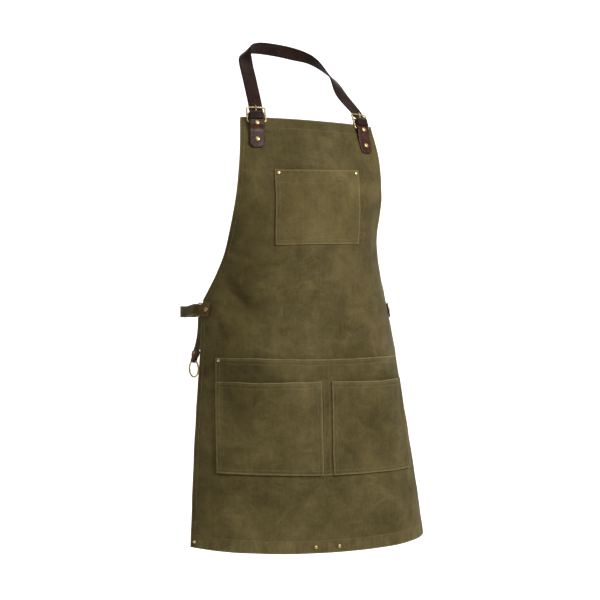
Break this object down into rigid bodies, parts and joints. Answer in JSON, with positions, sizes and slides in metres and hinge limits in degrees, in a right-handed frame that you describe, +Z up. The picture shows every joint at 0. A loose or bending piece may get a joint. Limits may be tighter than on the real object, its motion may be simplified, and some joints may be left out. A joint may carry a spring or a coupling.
{
  "type": "canvas work apron",
  "caption": "Worn-shape olive waxed canvas bib apron with chest and lower pockets, leather neck strap on brass buckles, waist strap and a side ring for tools or a cloth.",
  "frame": {"origin": "nape of the neck, middle of the inner face of the neck strap that the apron hangs by", "axes": "+Z up, -Y out of the apron's front, +X towards the wearer's left"},
  "size_m": [0.4925, 0.2777, 0.9793],
  "materials": {
    "canvas": "waxed olive canvas, matt with lighter creases",
    "webbing": "olive canvas strap, matt",
    "leather": "dark brown leather, soft sheen",
    "patch_leather": "brown leather, matt",
    "brass": "aged brass, satin"
  },
  "bodies": {
    "apron": {"body_panel": "canvas", "chest_pocket": "canvas", "lower_pocket_back": "canvas", "lower_pocket_right": "canvas", "lower_pocket_left": "canvas", "neck_strap": "leather", "waist_strap": "webbing", "neck_tab_right": "leather", "neck_tab_left": "leather", "buckle_right": "brass", "buckle_left": "brass", "prong_right": "brass", "prong_left": "brass", "waist_patch_right": "patch_leather", "waist_patch_left": "patch_leather", "waist_ring_right": "brass", "waist_ring_left": "brass", "hanger_strap": "webbing", "hanger_end": "leather", "hanger_rivet": "brass", "neck_tab_rivet_right_1": "brass", "neck_tab_rivet_right_2": "brass", "neck_tab_rivet_left_1": "brass", "neck_tab_rivet_left_2": "brass", "chest_pocket_rivet_right": "brass", "chest_pocket_rivet_left": "brass", "lower_pocket_rivet_right": "brass", "lower_pocket_rivet_left": "brass", "waist_patch_rivet_right": "brass", "waist_patch_rivet_left": "brass", "hem_rivet_right": "brass", "hem_rivet_mid_right": "brass", "hem_rivet_mid_left": "brass", "hem_rivet_left": "brass"},
    "ring": {"hanger_ring": "brass"}
  },
  "joints": [
    {"name": "ring_swing", "type": "hinge", "parent": "apron", "child": "ring", "pos_m": [-0.21, -0.0417, -0.6098], "axis": [-0.2079, 0.9781, 0], "range_deg": [-120, 150]}
  ]
}
